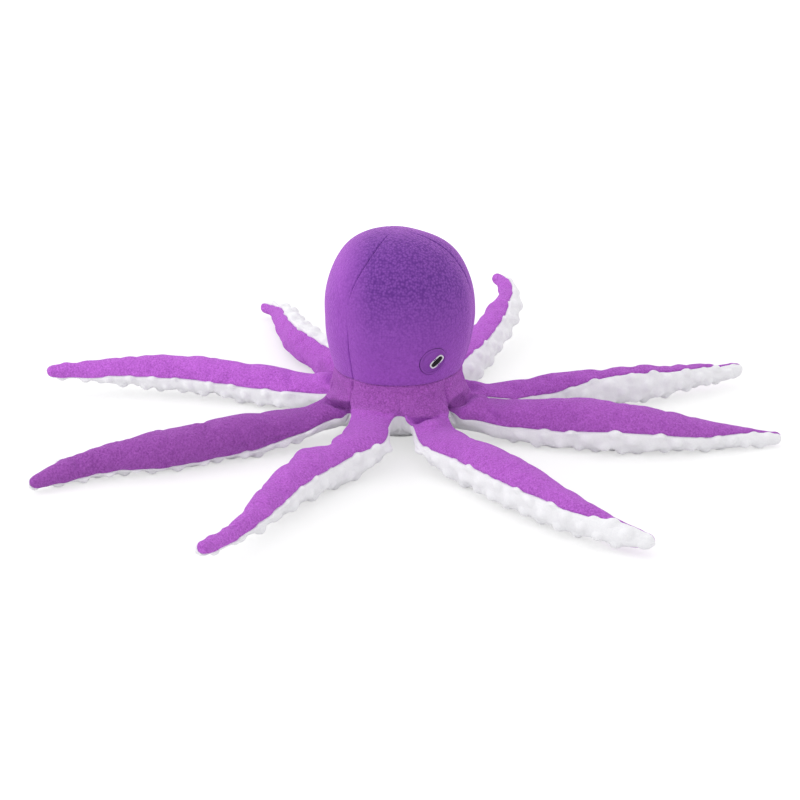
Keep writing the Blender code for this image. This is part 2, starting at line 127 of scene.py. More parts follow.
# Head panels. Three gores of short purple fleece sewn right sides together and turned, so that the
# seams show only as fine pulled-in lines. They are closed at the crown and sewn to the neck below.
HEAD_RADIUS = 0.0487
WIDEST_HEIGHT = 0.0812
HEAD_CROWN = 0.0531
HEAD_FULLNESS = 2.3
NECK_RADIUS = 0.042
NECK_HEIGHT = 0.0435
WIDEST_LEVEL = 0.4
HEAD_SEAMS = (("front", -44, 76), ("right", 76, 196), ("left", 196, 316))
SEAM_LEAN = {-44: 14, 316: 14}
LEAN_FROM_LEVEL = 0.42
LEAN_OVER = 0.42
FAINT_LEVEL = 0.45
HEAD_ROWS = 130
HEAD_COLUMNS = 130
SEAM_CROWDING = 0.8
CLOTH = 0.0016
SEAM_PULL = 0.0009
SEAM_WIDTH = 0.0005
PANEL_BULGE = 0.0005
HEAD_SWELL = 0.0004
SLUMP_HEIGHTS = (0.0, 0.018, 0.0435, 0.078, 0.100, 0.1345)
SLUMP_SHIFTS = (0.0, 0.0, -0.0012, 0.0002, -0.0004, -0.0022)
HEAD_DARK = (0.261, 0.064, 0.418, 1)
HEAD_LIGHT = (0.404, 0.114, 0.594, 1)
HEAD_GRAIN = 560
# Painted shade: the two darker pebble colours for the shaded upper middle of the head's front.
PAINTED_SHADE_CROWN_DARK = (0.124, 0.032, 0.260, 1)
PAINTED_SHADE_CROWN_LIGHT = (0.238, 0.074, 0.414, 1)
CROWN_HEIGHTS = (0.052, 0.108)
CROWN_SHIFT = 0.012
CROWN_HALF_WIDTHS = (0.050, 0.030)
PEBBLES = 620
FLEECE_BLOOM = (0.80, 0.34, 0.98, 1)
FLEECE_PATCHES = 48
FLEECE_FIBRES = 3400
FIBRE_DEPTH = 0.0001


def smooth(x):
    x = np.clip(x, 0, 1)
    return x * x * (3 - 2 * x)


def fade_in(x, start, length):
    return smooth((x - start) / length)


def bell(x, width):
    return np.exp(-((x / width) ** 2))


def unit(ways):
    return ways / np.maximum(np.linalg.norm(ways, axis=-1, keepdims=True), 1e-12)


def surface_normals(points):
    normals = np.cross(np.gradient(points, axis=1), np.gradient(points, axis=0))
    closed = np.max(np.abs(normals[-1])) < 1e-9
    normals = unit(normals)
    if closed:
        normals[-1] = unit(normals[-2].mean(axis=0))
    return normals


def close_ring(index):
    return np.concatenate([index, index[:, :1]], axis=1)


def quads_of(index):
    corners = [index[:-1, :-1], index[:-1, 1:], index[1:, 1:], index[1:, :-1]]
    return np.stack(corners, -1).reshape(-1, 4)


def add_object(name, data):
    thing = bpy.data.objects.new(name, data)
    bpy.context.scene.collection.objects.link(thing)
    return thing


def add_piece(name, points, faces):
    mesh = bpy.data.meshes.new(name)
    mesh.from_pydata(points, [], faces)
    return add_object(name, mesh)


def sew_shell(name, outer, inner, material, ring=False):
    """A cloth of some thickness from its outer and inner grids, closed along every edge."""
    rows, columns = outer.shape[:2]
    count = rows * columns
    index = np.arange(count).reshape(rows, columns)
    edges = []
    if ring:
        index = close_ring(index)
    else:
        edges += [(index[:, 0], 1), (index[:, -1], -1)]
    for edge, points, turn in ((index[0], outer[0], -1), (index[-1], outer[-1], 1)):
        if np.ptp(points, axis=0).max() > 1e-6:
            edges.append((edge, turn))
    quads = [quads_of(index), quads_of(index)[:, ::-1] + count]
    for edge, turn in edges:
        rim = np.stack([edge[:-1], edge[1:], edge[1:] + count, edge[:-1] + count], -1)
        quads.append(rim[:, ::turn])
    points = np.concatenate([outer.reshape(-1, 3), inner.reshape(-1, 3)])
    piece = add_piece(name, points.tolist(), np.concatenate(quads).tolist())
    work = bmesh.new()
    work.from_mesh(piece.data)
    bmesh.ops.remove_doubles(work, verts=work.verts, dist=2e-6)
    bmesh.ops.dissolve_degenerate(work, edges=work.edges, dist=1e-7)
    work.to_mesh(piece.data)
    work.free()
    piece.data.shade_smooth()
    piece.data.set_sharp_from_angle(angle=math.radians(60))
    piece.data.materials.append(material)
    return piece


def ripples(points, length, seed):
    """Soft uneven swells about a length apart, the same on every run."""
    picks = np.random.RandomState(seed)
    total = np.zeros(points.shape[:-1])
    for _ in range(7):
        turn = picks.normal(size=3)
        turn *= 2 * np.pi / length * picks.uniform(0.6, 1.5) / np.linalg.norm(turn)
        total += np.sin(points @ turn + picks.uniform(0, 6.283))
    return total / 7 ** 0.5


def slump(points):
    """The soft toy sits a little crooked: it leans by a small shift that changes with height."""
    points = points.copy()
    points[..., 0] += np.interp(points[..., 2], SLUMP_HEIGHTS, SLUMP_SHIFTS)
    return points


def head_radius(height):
    rise = np.clip((height - WIDEST_HEIGHT) / HEAD_CROWN, 0, 1)
    over = HEAD_RADIUS * (1 - rise ** HEAD_FULLNESS) ** (1 / HEAD_FULLNESS)
    share = np.clip((height - NECK_HEIGHT) / (WIDEST_HEIGHT - NECK_HEIGHT), 0, 1)
    under = NECK_RADIUS + (HEAD_RADIUS - NECK_RADIUS) * np.sin(share * np.pi / 2)
    return np.where(height >= WIDEST_HEIGHT, over, under)


def head_point(azimuth, level):
    """A point of the head, with level 0 at the neck seam and 1 at the crown."""
    angle = np.clip((level - WIDEST_LEVEL) / (1 - WIDEST_LEVEL), 0, 1) * np.pi / 2
    lower = NECK_HEIGHT + (WIDEST_HEIGHT - NECK_HEIGHT) * level / WIDEST_LEVEL
    upper = WIDEST_HEIGHT + HEAD_CROWN * np.sin(angle) ** (2 / HEAD_FULLNESS)
    height = np.where(level < WIDEST_LEVEL, lower, upper)
    cap = HEAD_RADIUS * np.maximum(np.cos(angle), 0) ** (2 / HEAD_FULLNESS)
    radius = np.where(level < WIDEST_LEVEL, head_radius(lower), cap)
    radius = np.where(level >= 1, 0, radius)
    return np.stack([radius * np.sin(azimuth), -radius * np.cos(azimuth), height], -1)


def math_node(tree, operation, *values):
    node = tree.nodes.new("ShaderNodeMath")
    node.operation = operation
    for socket, value in zip(node.inputs, values):
        feed(socket, value)
    return node.outputs["Value"]


def fleece(name, dark, light, grain, depth, bloom):
    """Short brushed pile: dark between the tufts, light on them, with a soft bloom at the edges."""
    material, shader, place = new_material(name)
    pile = stretch(add_noise(place, grain, 4.0, 0.6), 0.28, 0.72)
    patches = stretch(add_noise(place, FLEECE_PATCHES, 2.0), 0.25, 0.75)
    warm = tuple(0.7 * d + 0.3 * l for d, l in zip(dark, light))
    colour = mix_colours(pile, mix_colours(patches, dark, warm), light)
    pits = stretch(add_noise(place, 1.9 * grain, 2.0), 0.52, 0.80)
    fibres = add_noise(place, FLEECE_FIBRES, 2.0)
    tufts = add_bump(pile, depth, 0.8)
    set_inputs(
        shader, Roughness=0.95, Specular_IOR_Level=0.12,
        Sheen_Weight=bloom, Sheen_Roughness=0.4, Sheen_Tint=FLEECE_BLOOM,
        Base_Color=mix_colours(pits, colour, dark),
        Normal=add_bump(fibres, FIBRE_DEPTH, 0.6, Normal=tufts),
    )
    return material


def dress(piece, slot, fill, *nodes):
    """The padded cloth takes the place of these CAD nodes."""
    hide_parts(*nodes)


def fix_to_head(piece):
    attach(piece, "body")
    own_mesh(piece)


# Over the upper middle of the front the head fleece is given darker colours, dark between light pebbles:
# painted shade where the head is in shade. The pebble pattern is the fleece's own, and the lower head shows
# smooth and lighter.
head_fleece = fleece("head_fleece", HEAD_DARK, HEAD_LIGHT, HEAD_GRAIN, 0.0003, 1.0)
tree = head_fleece.node_tree
shader = tree.nodes["Principled BSDF"]
place = tree.nodes["Texture Coordinate"].outputs["Object"]
parts = add_node(tree, "ShaderNodeSeparateXYZ", Vector=place).outputs
aside = math_node(tree, "ABSOLUTE", math_node(tree, "SUBTRACT", parts["X"], CROWN_SHIFT))
middle = stretch(aside, *CROWN_HALF_WIDTHS)
# The mask of the painted shade: the middle of the front, growing with height.
crown = math_node(tree, "MULTIPLY", middle, stretch(parts["Z"], *CROWN_HEIGHTS))
cells = add_node(tree, "ShaderNodeTexVoronoi", Vector=place, Scale=PEBBLES, Randomness=0.8)
pebbles = stretch(cells.outputs["Distance"], 0.75, 0.2)
plain = shader.inputs["Base Color"].links[0].from_socket
pebbles_in_painted_shade = mix_colours(pebbles, PAINTED_SHADE_CROWN_DARK, PAINTED_SHADE_CROWN_LIGHT)
tufts = shader.inputs["Normal"].links[0].from_socket
set_inputs(
    shader, Base_Color=mix_colours(crown, plain, pebbles_in_painted_shade),
    Normal=add_bump(pebbles, 0.0003, 0.5, Normal=tufts),
)
for side, first, last in HEAD_SEAMS:
    level = np.linspace(0, 1, HEAD_ROWS)[:, None] ** 1.25
    lean = fade_in(level, LEAN_FROM_LEVEL, LEAN_OVER)
    first = first + SEAM_LEAN.get(first, 0) * lean
    last = last + SEAM_LEAN.get(last, 0) * lean
    share = np.linspace(0, 1, HEAD_COLUMNS)
    share = share - SEAM_CROWDING * np.sin(2 * np.pi * share) / (2 * np.pi)
    azimuth = np.radians(first + (last - first) * share[None, :])
    azimuth, level = np.broadcast_arrays(azimuth, level)
    skin = head_point(azimuth, level)
    out = surface_normals(skin)
    away = np.hypot(skin[..., 0], skin[..., 1])
    from_seam = away * np.minimum(azimuth - azimuth[:, :1], azimuth[:, -1:] - azimuth)
    shown = (1 - 0.9 * bell(level - FAINT_LEVEL, 0.11)) * smooth((1 - level) / 0.2)
    pull = -SEAM_PULL * bell(from_seam, SEAM_WIDTH) * shown
    pull = pull - 0.6 * SEAM_PULL * bell(skin[..., 2] - NECK_HEIGHT, SEAM_WIDTH)
    pull = pull + PANEL_BULGE * smooth(from_seam / 0.012) * smooth((1 - level) / 0.3)
    skin = slump(skin + out * (pull + HEAD_SWELL * ripples(skin, 0.045, 3))[..., None])
    piece = sew_shell("head_fleece_" + side, skin, skin - out * CLOTH, head_fleece)
    fix_to_head(piece)
    dress(piece, "purple_fleece", 0.8, "head_panel_" + side, "head_stuffing_lower", "head_stuffing_upper")

# Crinkle sheet. A thin clear film sewn in behind the front head panel, creased from handling, which
# rustles when the head is squeezed. It lies between the fleece and the stuffing.
CRINKLE_AZIMUTHS = (-29, 61)
CRINKLE_LEVELS = (0.06, 0.72)
CRINKLE_ROWS = 60
CRINKLE_COLUMNS = 70
CRINKLE_INSET = 0.0034
CRINKLE_FILM = 0.0004
CREASE_LENGTH = 0.011
CREASE_DEPTH = 0.0005
FILM_HAZY = (0.60, 0.63, 0.66, 1)
FILM_CLEAR = (0.80, 0.82, 0.84, 1)

azimuth = np.radians(np.linspace(*CRINKLE_AZIMUTHS, CRINKLE_COLUMNS))[None, :]
level = np.linspace(*CRINKLE_LEVELS, CRINKLE_ROWS)[:, None]
film = head_point(*np.broadcast_arrays(azimuth, level))
out = surface_normals(film)
creases = np.clip(np.abs(ripples(film, CREASE_LENGTH, 21)) - 0.8, -1, 1)
film = slump(film - out * (CRINKLE_INSET - CREASE_DEPTH * creases)[..., None])
clear_film, shader, place = new_material("crinkle_film")
haze = stretch(add_noise(place, 260))
set_inputs(
    shader, Roughness=0.2, Base_Color=mix_colours(haze, FILM_HAZY, FILM_CLEAR),
    Normal=add_bump(add_noise(place, 700), 0.0002),
)
piece = sew_shell("crinkle_film", film, film - out * CRINKLE_FILM, clear_film)
cells = np.cross(np.diff(film, axis=0)[:, :-1], np.diff(film, axis=1)[:-1])
fix_to_head(piece)
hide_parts("crinkle_sheet")

# Eyes. Each is machine embroidered through the front cloth: a round of purple satin stitch with a
# raised border, then a white outline and a slanted black pupil worked over it. A ring of very dark thread
# round the patch is painted shade, standing in for the shadow along the patch's edge.
EYES = {"right": (27.5, 45), "left": (-139.5, -45)}
EYE_ABOVE_NECK = 0.0165
EYE_PATCH_RADIUS = 0.0091
FILL_RADIUS = EYE_PATCH_RADIUS - 0.0008
BORDER_RADIUS = EYE_PATCH_RADIUS - 0.0006
PATCH_CROWN = 0.0007
PATCH_PAD = 0.0008
PATCH_LIFT = 0.0009
BORDER_STITCH = 0.0012
BORDER_LIFT = 0.0002
EDGE_STITCH = 0.0007
EDGE_THREAD_RADIUS = 0.00035
EDGE_LIFT = 0.0006
ROUND = 2.0
PUPIL_SHIFT = 0.0018
PUPIL_HALF_LENGTH = 0.0042
PUPIL_HALF_WIDTH = 0.00188
PUPIL_SQUARENESS = 3.2
PUPIL_CROWN = 0.0003
PUPIL_PAD = 0.0004
PUPIL_LIFT = 0.0021
OUTLINE_WIDTH = 0.0009
THREAD_RADIUS = 0.00022
THREAD_PITCH = 1.7
PAD_RINGS = 6
PAD_TURNS = 48
PURPLE_THREAD = ((0.250, 0.062, 0.400, 1), (0.380, 0.110, 0.560, 1))
# Painted shade: the very dark thread of the ring round each eye patch stands in for the shadow along the
# patch's edge.
PAINTED_SHADE_RING = ((0.070, 0.014, 0.130, 1), (0.120, 0.028, 0.200, 1))
WHITE_THREAD = ((0.80, 0.79, 0.83, 1), (0.90, 0.89, 0.92, 1))
BLACK_THREAD = ((0.008, 0.008, 0.010, 1), (0.022, 0.021, 0.026, 1))


def dye_thread(name, dark, light):
    material, shader, place = new_material(name)
    twist = stretch(add_noise(place, 2600, 2.0))
    set_inputs(
        shader, Roughness=0.6, Specular_IOR_Level=0.2,
        Base_Color=mix_colours(twist, dark, light), Normal=add_bump(twist, 0.0001, 0.5),
    )
    return material


def new_stitches(kind, *more):
    """A Geometry Nodes tree with named inputs, with its arithmetic and the parts of each position."""
    tree = bpy.data.node_groups.new(kind, "GeometryNodeTree")
    for name in ("Half Length", "Half Width", "Squareness", "Thread Radius", "Crown", "Thread") + more:
        form = "NodeSocketMaterial" if name == "Thread" else "NodeSocketFloat"
        tree.interface.new_socket(name, in_out="INPUT", socket_type=form)
    tree.interface.new_socket("Stitches", in_out="OUTPUT", socket_type="NodeSocketGeometry")
    where = tree.nodes.new("GeometryNodeInputPosition").outputs["Position"]
    parts = add_node(tree, "ShaderNodeSeparateXYZ", Vector=where).outputs
    return tree, tree.nodes.new("NodeGroupInput").outputs, partial(math_node, tree), parts


def vector_of(tree, *parts):
    node = tree.nodes.new("ShaderNodeCombineXYZ")
    for socket, value in zip(node.inputs, parts):
        feed(socket, value)
    return node.outputs["Vector"]


def end_stitches(tree, given, calc, parts, points, half_length, **turns):
    """Lay a thread along Y on each point, raise them to a low crown and give them their dye."""
    tube = add_node(tree, "GeometryNodeMeshCylinder", Vertices=6, Side_Segments=4, Radius=1.0, Depth=2.0)
    flat = add_node(
        tree, "GeometryNodeTransform", Geometry=tube.outputs["Mesh"], Rotation=(math.pi / 2, 0, 0),
    )
    lay = add_node(
        tree, "GeometryNodeInstanceOnPoints", Points=points, Instance=flat.outputs["Geometry"],
        Scale=vector_of(tree, given["Thread Radius"], half_length, given["Thread Radius"]), **turns,
    )
    real = add_node(tree, "GeometryNodeRealizeInstances", Geometry=lay.outputs["Instances"])
    x = calc("DIVIDE", parts["X"], given["Half Length"])
    y = calc("DIVIDE", parts["Y"], given["Half Width"])
    off = calc("ADD", calc("MULTIPLY", x, x), calc("MULTIPLY", y, y))
    rise = vector_of(tree, 0.0, 0.0, calc("MULTIPLY", calc("SUBTRACT", 1.0, off), given["Crown"]))
    move = add_node(tree, "GeometryNodeSetPosition", Geometry=real.outputs["Geometry"], Offset=rise)
    even = add_node(tree, "GeometryNodeSetShadeSmooth", Geometry=move.outputs["Geometry"])
    dyed = add_node(tree, "GeometryNodeSetMaterial", Geometry=even.outputs["Geometry"])
    set_inputs(dyed, Material=given["Thread"])
    add_node(tree, "NodeGroupOutput", Stitches=dyed.outputs["Geometry"])


# Satin fill: straight threads side by side across an oval.
fill_tree, given, calc, parts = new_stitches("satin_fill")
step = calc("MULTIPLY", given["Thread Radius"], THREAD_PITCH)
count = calc("FLOOR", calc("DIVIDE", given["Half Length"], step))
line = fill_tree.nodes.new("GeometryNodeMeshLine")
first = calc("MULTIPLY", calc("MULTIPLY", count, step), -1.0)
set_inputs(
    line, Count=calc("ADD", calc("MULTIPLY", count, 2.0), 1.0),
    Start_Location=vector_of(fill_tree, first, 0.0, 0.0), Offset=vector_of(fill_tree, step, 0.0, 0.0),
)
share = calc("ABSOLUTE", calc("DIVIDE", parts["X"], given["Half Length"]))
room = calc("MAXIMUM", calc("SUBTRACT", 1.0, calc("POWER", share, given["Squareness"])), 0.02)
reach = calc("MULTIPLY", calc("POWER", room, calc("DIVIDE", 1.0, given["Squareness"])), given["Half Width"])
uneven = add_node(fill_tree, "FunctionNodeRandomValue", Seed=7)
uneven.inputs[2].default_value = 0.96
uneven.inputs[3].default_value = 1.03
reach = calc("MULTIPLY", reach, uneven.outputs[1])
end_stitches(fill_tree, given, calc, parts, line.outputs["Mesh"], reach)

# Satin border: short threads laid square to an oval line.
border_tree, given, calc, parts = new_stitches("satin_border", "Stitch", "Count")
loop = add_node(border_tree, "GeometryNodeMeshCircle", Vertices=given["Count"], Radius=1.0)
power = calc("SUBTRACT", calc("DIVIDE", 2.0, given["Squareness"]), 1.0)
oval, square = [], []
for axis, half in (("X", given["Half Length"]), ("Y", given["Half Width"])):
    fuller = calc("POWER", calc("MAXIMUM", calc("ABSOLUTE", parts[axis]), 0.001), power)
    oval.append(calc("MULTIPLY", calc("MULTIPLY", parts[axis], fuller), half))
    square.append(calc("DIVIDE", calc("DIVIDE", parts[axis], fuller), half))
move = add_node(
    border_tree, "GeometryNodeSetPosition", Geometry=loop.outputs["Mesh"],
    Position=vector_of(border_tree, *oval, 0.0),
)
turn = add_node(border_tree, "FunctionNodeAlignRotationToVector", Vector=vector_of(border_tree, *square, 0.0))
turn.axis = "Y"
half = calc("MULTIPLY", given["Stitch"], 0.5)
oval = move.outputs["Geometry"]
end_stitches(border_tree, given, calc, parts, oval, half, Rotation=turn.outputs["Rotation"])


def stitch(tree, half_length, half_width, squareness, thread_radius, crown, thread, **border):
    """The stitches of one tree as points and faces, laid flat round the middle of the eye."""
    values = {
        "Half Length": half_length, "Half Width": half_width, "Squareness": squareness,
        "Thread Radius": thread_radius, "Crown": crown, "Thread": thread, **border,
    }
    spare = add_piece("stitches", [], [])
    work = spare.modifiers.new("stitches", "NODES")
    work.node_group = tree
    for socket in tree.interface.items_tree:
        if socket.in_out == "INPUT":
            work[socket.identifier] = values[socket.name]
    ready = spare.evaluated_get(bpy.context.evaluated_depsgraph_get())
    mesh = bpy.data.meshes.new_from_object(ready)
    spare.modifiers.remove(work)
    bpy.data.objects.remove(spare)
    points = np.empty(len(mesh.vertices) * 3)
    mesh.vertices.foreach_get("co", points)
    faces = [tuple(face.vertices) for face in mesh.polygons]
    bpy.data.meshes.remove(mesh)
    return points.reshape(-1, 3), faces


def pad_under(half_length, half_width, crown, height):
    """The padding of stitches under a satin shape: a low closed dome."""
    turns = np.linspace(0, 2 * np.pi, PAD_TURNS, endpoint=False)
    rings = [(ring, crown * (1 - ring ** 2)) for ring in np.linspace(0, 1, PAD_RINGS + 1)[1:]]
    points = [(0, 0, crown)]
    for ring, rise in rings + [(1, -height)]:
        points += [(half_length * ring * math.cos(t), half_width * ring * math.sin(t), rise) for t in turns]
    points.append((0, 0, -height))
    faces = []
    rim = 1 + PAD_TURNS * PAD_RINGS
    for j in range(PAD_TURNS):
        k = (j + 1) % PAD_TURNS
        faces.append((0, 1 + j, 1 + k))
        for low in range(1, rim, PAD_TURNS):
            faces.append((low + j, low + PAD_TURNS + j, low + PAD_TURNS + k, low + k))
        faces.append((rim + k, rim + j, len(points) - 1))
    return np.array(points, float), faces


def sew_eye(name, layers, material, azimuth, slant, shift, lift):
    """Lay flat stitches on the round of the head and make them one piece."""
    points, faces = [], []
    for some_points, some_faces in layers:
        start = sum(len(p) for p in points)
        points.append(some_points)
        faces += [tuple(start + v for v in face) for face in some_faces]
    flat = np.concatenate(points)
    turn = math.radians(slant)
    across = flat[:, 0] * math.cos(turn) - flat[:, 1] * math.sin(turn) + shift
    up = flat[:, 0] * math.sin(turn) + flat[:, 1] * math.cos(turn)
    height = NECK_HEIGHT + EYE_ABOVE_NECK + up
    around = math.radians(azimuth) + across / head_radius(np.array(NECK_HEIGHT + EYE_ABOVE_NECK))
    radius = head_radius(height) + lift + flat[:, 2]
    laid = slump(np.stack([radius * np.sin(around), -radius * np.cos(around), height], -1))
    piece = add_piece(name, laid.tolist(), faces)
    piece.data.shade_smooth()
    piece.data.materials.append(material)
    fix_to_head(piece)
    return piece


purple_thread = dye_thread("purple_thread", *PURPLE_THREAD)
# The thread of the painted shade ring round each patch.
painted_shade_ring_thread = dye_thread("painted_shade_ring", *PAINTED_SHADE_RING)
white_thread = dye_thread("white_thread", *WHITE_THREAD)
black_thread = dye_thread("black_thread", *BLACK_THREAD)
fill = stitch(fill_tree, FILL_RADIUS, FILL_RADIUS, ROUND, THREAD_RADIUS, PATCH_CROWN, purple_thread)
border, border_faces = stitch(
    border_tree, BORDER_RADIUS, BORDER_RADIUS, ROUND, THREAD_RADIUS * 1.3, 0.0, purple_thread,
    Stitch=BORDER_STITCH, Count=130.0,
)
patch_pad = pad_under(BORDER_RADIUS, BORDER_RADIUS, PATCH_CROWN, PATCH_PAD)
patch = [patch_pad, fill, (border + np.array([0, 0, BORDER_LIFT]), border_faces)]
# The ring of painted shade round the patch.
edge = stitch(
    border_tree, EYE_PATCH_RADIUS, EYE_PATCH_RADIUS, ROUND, EDGE_THREAD_RADIUS, 0.0, painted_shade_ring_thread,
    Stitch=EDGE_STITCH, Count=110.0,
)
outline = stitch(
    border_tree, PUPIL_HALF_LENGTH + OUTLINE_WIDTH / 2, PUPIL_HALF_WIDTH + OUTLINE_WIDTH / 2,
    PUPIL_SQUARENESS, THREAD_RADIUS * 1.2, 0.0, white_thread, Stitch=OUTLINE_WIDTH, Count=64.0,
)
pupil_fill = stitch(
    fill_tree, PUPIL_HALF_LENGTH, PUPIL_HALF_WIDTH, PUPIL_SQUARENESS, THREAD_RADIUS, PUPIL_CROWN,
    black_thread,
)
pupil = [pad_under(PUPIL_HALF_LENGTH, PUPIL_HALF_WIDTH, PUPIL_CROWN, PUPIL_PAD), pupil_fill]
for side, (azimuth, slant) in EYES.items():
    outward = PUPIL_SHIFT if slant > 0 else -PUPIL_SHIFT
    for part, layers, material, shift, lift, node, slot in (
        ("edge", [edge], painted_shade_ring_thread, 0.0, EDGE_LIFT, "patch", "purple_thread"),
        ("patch", patch, purple_thread, 0.0, PATCH_LIFT, "patch", "purple_thread"),
        ("outline", [outline], white_thread, outward, PUPIL_LIFT, "white", "white_thread"),
        ("pupil", pupil, black_thread, outward, PUPIL_LIFT, "pupil", "black_thread"),
    ):
        piece = sew_eye(f"eye_{side}_{part}_thread", layers, material, azimuth, slant, shift, lift)
        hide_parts(f"eye_{side}_{node}")

# Body bag. Four fleece skirt panels, eight fleece arm tops, eight dotted plush arm undersides and a
# round plush belly are sewn edge to edge with the right sides in, then turned and stuffed. The skirt
# hangs from the neck seam, and the arms lie out on the floor.
HALF_SECTOR = 22.5
SKIRT_EDGE_RADIUS = 0.0455
SKIRT_EDGE_HEIGHT = 0.0235
FRONT_PEAK = 0.0030
FRONT_PEAK_SPREAD = 8
FRONT_HOLD = 0.75
FRONT_HOLD_SPREAD = 14
ARCH_TOP_RADIUS = 0.0490
SKIRT_ROWS = 30
TOP_COLUMNS = 44
SKIRT_SEAM_SHOWN = {"left_front": 0.8, "front_left": 0.8}
ARM_LENGTH = 0.1985
ARM_ROOT_RADIUS = 0.012
ARM_TIP_RADIUS = 0.0045
ARM_FULLEST = 0.4
ARM_HINGE_RADIUS = 0.0515
ARM_ROWS = 190
TIP_ROWS = 8
HOOK_FROM = 0.7
HOOK_OVER = 0.3
ROOT_SPAN = 0.026
ROOT_WIDTH = 0.0036
ROOT_PLUMP = 0.0012
ROOT_TALLEST = 0.0285
FRONT_WEB = 0.0034
UNDER_COLUMNS = 52
UNDER_BOTTOM_RADIUS = 0.0440
UNDER_BOTTOM_HEIGHT = 0.0016
PLUSH_WIDER = 0.20
RAISED_AT = (-140, -100, -62, -32, 32, 62, 100, 140)
RAISED_BY = (0.0, 0.0030, 0.0055, 0.0086, 0.0086, 0.0035, 0.0020, 0.0)
RAISED_TOP = 0.019
BELLY_REST_RADIUS = 0.037
BELLY_ROWS = 40
LOWEST_CLOTH = 0.0004
LOWEST_LINING = 0.0008
DOT_PITCH = 0.0168
DOT_RADIUS = 0.0043
DOT_HEIGHT = 0.0021
DOT_SHIFT = 0.004
DOT_OVER_SEAM = 0.11
ARM_SWELL = 0.00060
SKIRT_SWELL = 0.0004
# Each arm: azimuth of its root, heading, bow, sway and hook at the tip in degrees, lift of the tip,
# full radius, taper, and how far it is rolled over at even steps from root to tip in degrees.
ARMS = {
    "back_left": (-157.5, -146, -24, 5, 31, 0.0028, 0.0130, 1.0, (64, 108, 114, 108, 110)),
    "left_back": (-112.5, -116.5, 29, -1.5, 7.5, 0.0118, 0.0128, 1.0, (-4, -3, -2, 5, 60)),
    "left_front": (-67.5, -55.5, -21, 1, 33, 0.0012, 0.0134, 1.0, (-4, 25, 42, 34, 52)),
    "front_left": (-22.5, -3, -52, -17, 20, 0.0100, 0.0132, 2.2, (-13, -25, -19, -5, 40)),
    "front_right": (22.5, 20.5, 32, 1.5, 18, 0.0040, 0.0147, 1.0, (17, 19, 21, 32, 116)),
    "right_front": (67.5, 82, 4, -12, 9, 0.0006, 0.0158, 1.4, (-13, -5, 9, 7, 74)),
    "right_back": (112.5, 111, -13, -13, 23, 0.0064, 0.0123, 1.0, (0, 15, 58, 55, 82)),
    "back_right": (157.5, 135.6, 50, 6, 24, 0.0244, 0.0128, 1.0, (35, 44, 47, 66, 66)),
}
# How each arm top meets the skirt: the seam's height over the arm, and the part of the seam that is
# drawn in to a fold, from 0 at the arm's far side to 1 at its near side, with the fold's depth and
# how far down the arm it lies.
ROOTS = {
    "back_left": (0.0285, 0.15, 0.85, 0.0020, 0.0),
    "left_back": (0.0300, 0.15, 0.85, 0.0030, 0.0),
    "left_front": (0.0250, -0.1, 0.55, 0.0080, 0.0030),
    "front_left": (0.0285, 0.3, 0.7, 0.0, 0.0),
    "front_right": (0.0245, 0.42, 0.73, 0.0075, 0.0050),
    "right_front": (0.0280, 0.40, 1.1, 0.0095, 0.0),
    "right_back": (0.0215, 0.15, 0.85, 0.0040, 0.0),
    "back_right": (0.0285, 0.15, 0.85, 0.0020, 0.0),
}
FOLD_WIDTH = 0.0024
FOLD_ROLL = 0.009
# Creases across an arm: share of its length, angle round it from the far seam, spread, depth, slant
# and width.
ARM_FOLDS = {
    "front_left": (
        (0.245, 2.4, 0.9, 0.0052, -0.030, 0.0062), (0.375, 2.2, 1.0, -0.0024, -0.030, 0.0150),
        (0.860, 1.6, 0.9, 0.0012, 0.0, 0.0024), (0.930, 1.6, 0.9, 0.0012, 0.0, 0.0024),
    ),
    "left_front": (
        (0.865, 1.7, 0.9, 0.0026, 0.0, 0.0026), (0.82, 1.7, 0.9, -0.0010, 0.0, 0.0050),
        (0.46, 1.4, 0.6, 0.0010, 0.03, 0.0060),
    ),
    "left_back": ((0.130, 0.9, 0.6, 0.0018, 0.02, 0.0030), (0.30, 1.4, 0.6, 0.0014, 0.03, 0.0040)),
    "back_left": ((0.34, 1.0, 0.7, 0.0020, 0.03, 0.0024),),
    "back_right": ((0.30, 1.8, 0.7, 0.0018, -0.03, 0.0024),),
    "right_front": ((0.090, 2.4, 0.6, 0.0020, 0.05, 0.0024),),
}
EASE_PASSES = 60
ROW_STEP = 3
COLUMN_STEP = 4
SLACK = 0.04
STUFFING_FRAMES = 20
WRINKLE_CAP = 0.0014
BROAD_PASSES = 120
FINE_PASSES = 6
UP = np.array([0, 0, 1.0])


def direction(azimuth):
    azimuth = np.asarray(azimuth)
    return np.stack([np.sin(azimuth), -np.cos(azimuth), 0 * azimuth], -1)


def edge_height(azimuth):
    """Height of the skirt's lower edge between two arms, with a peak in front."""
    return SKIRT_EDGE_HEIGHT + FRONT_PEAK * bell(np.degrees(azimuth), FRONT_PEAK_SPREAD)


def front_hold(facing):
    """How freely the cloth eases: less in front, where the arms are sewn close together."""
    return 1 - FRONT_HOLD * bell(facing, FRONT_HOLD_SPREAD)


def arch(root, across, radius, height, rise):
    """A seam round an arm's root: across runs 0 to 1 from the arm's far side to its near side."""
    azimuth = root + math.radians(HALF_SECTOR) * np.cos(np.pi * across)
    away = SKIRT_EDGE_RADIUS + (radius - SKIRT_EDGE_RADIUS) * rise
    level = edge_height(azimuth) + (height - edge_height(azimuth)) * rise
    return direction(azimuth) * away[..., None] + UP * level[..., None]


def arch_top(root, across, seam_top):
    return arch(root, across, ARCH_TOP_RADIUS, seam_top, np.sin(np.pi * across))


def arch_under(root, across):
    return arch(root, across, UNDER_BOTTOM_RADIUS, UNDER_BOTTOM_HEIGHT, np.sin(np.pi * across) ** 0.8)


